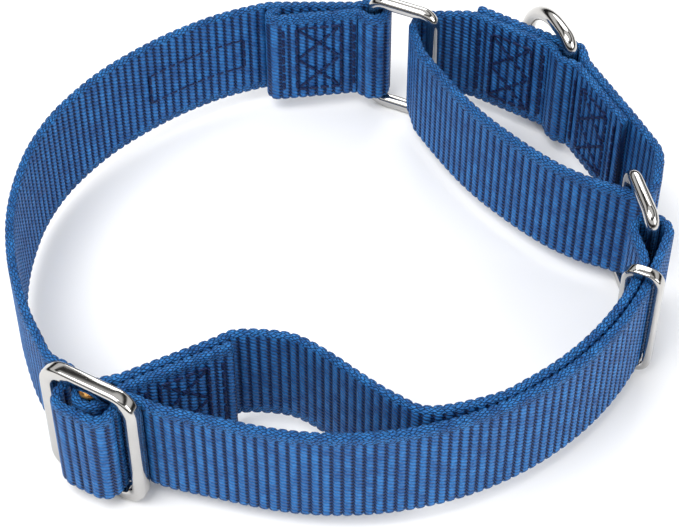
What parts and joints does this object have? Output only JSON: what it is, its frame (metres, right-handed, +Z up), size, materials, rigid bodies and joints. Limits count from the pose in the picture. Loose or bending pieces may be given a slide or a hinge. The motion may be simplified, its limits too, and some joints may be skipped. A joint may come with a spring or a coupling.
{
  "type": "martingale dog collar",
  "caption": "Adjustable webbing dog collar with a sewn control loop through rectangular rings, a leash D-ring, a slide adjuster and a keeper, standing open on its edge.",
  "frame": {"origin": "floor under the middle of the collar's bounding box", "axes": "+Z up across the width of the webbing, +X and +Y in the plan of the open collar: the slide is towards -X and -Y, the control loop towards +X and +Y"},
  "size_m": [0.1044, 0.0977, 0.0248],
  "materials": {
    "webbing": "ribbed woven nylon webbing, blue",
    "thread": "bonded nylon sewing thread, dark blue",
    "label_tape": "flat woven polyester label, blank",
    "nickel": "polished nickel plate",
    "braze": "brass braze under thin plating"
  },
  "bodies": {
    "collar": {"slide_entry_strap": "webbing", "slide_exit_strap": "webbing", "outer_strap": "webbing", "slack_strap": "webbing"},
    "slide": {"slide_frame": "nickel", "slide_centre_bar": "nickel", "bar_braze_rings": "braze", "sewn_slide_end": "webbing", "slide_end_stitching": "thread"},
    "keeper": {"keeper": "nickel"},
    "neck": {"neck_strap": "webbing", "ring_end_stitching": "thread", "label": "label_tape", "label_stitching": "thread"},
    "ring_a": {"ring_a": "nickel"},
    "ring_b": {"ring_b": "nickel"},
    "control_loop": {"control_strap": "webbing", "control_stitching_a": "thread", "control_stitching_b": "thread"},
    "leash_ring": {"d_ring": "nickel"}
  },
  "joints": [
    {"name": "neck_close", "type": "hinge", "parent": "collar", "child": "neck", "pos_m": [-0.05091, -0.00962, 0.0124], "axis": [0, 0, -1], "range_deg": [0, 7]},
    {"name": "ring_a_swing", "type": "hinge", "parent": "neck", "child": "ring_a", "pos_m": [0.00601, 0.04433, 0.0124], "axis": [0, 0, 1], "range_deg": [0, 38.5]},
    {"name": "ring_b_swing", "type": "hinge", "parent": "collar", "child": "ring_b", "pos_m": [0.04841, -0.00777, 0.0124], "axis": [0, 0, -1], "range_deg": [0, 42]},
    {"name": "control_swing", "type": "hinge", "parent": "ring_b", "child": "control_loop", "pos_m": [0.04621, 0.00301, 0.0124], "axis": [0, 0, 1], "range_deg": [0, 42]},
    {"name": "leash_ring_swing", "type": "hinge", "parent": "control_loop", "child": "leash_ring", "pos_m": [0.03891, 0.03323, 0.0124], "axis": [0, 0, 1], "range_deg": [-150, 8]},
    {"name": "size_adjust", "type": "slide", "parent": "collar", "child": "slide", "axis": [0.866, -0.5, 0], "range_m": [-0.006, 0.006], "deforming": ["slide_entry_strap", "slide_exit_strap", "slack_strap"]},
    {"name": "keeper_travel", "type": "hinge", "parent": "collar", "child": "keeper", "pos_m": [0.00001, 0.00403, 0.0124], "axis": [0, 0, 1], "range_deg": [-28, 1]}
  ],
  "couplings": [
    {"joint": "ring_a_swing", "follows": "neck_close", "ratio": 5.5},
    {"joint": "ring_b_swing", "follows": "neck_close", "ratio": 6},
    {"joint": "control_swing", "follows": "neck_close", "ratio": 6}
  ]
}
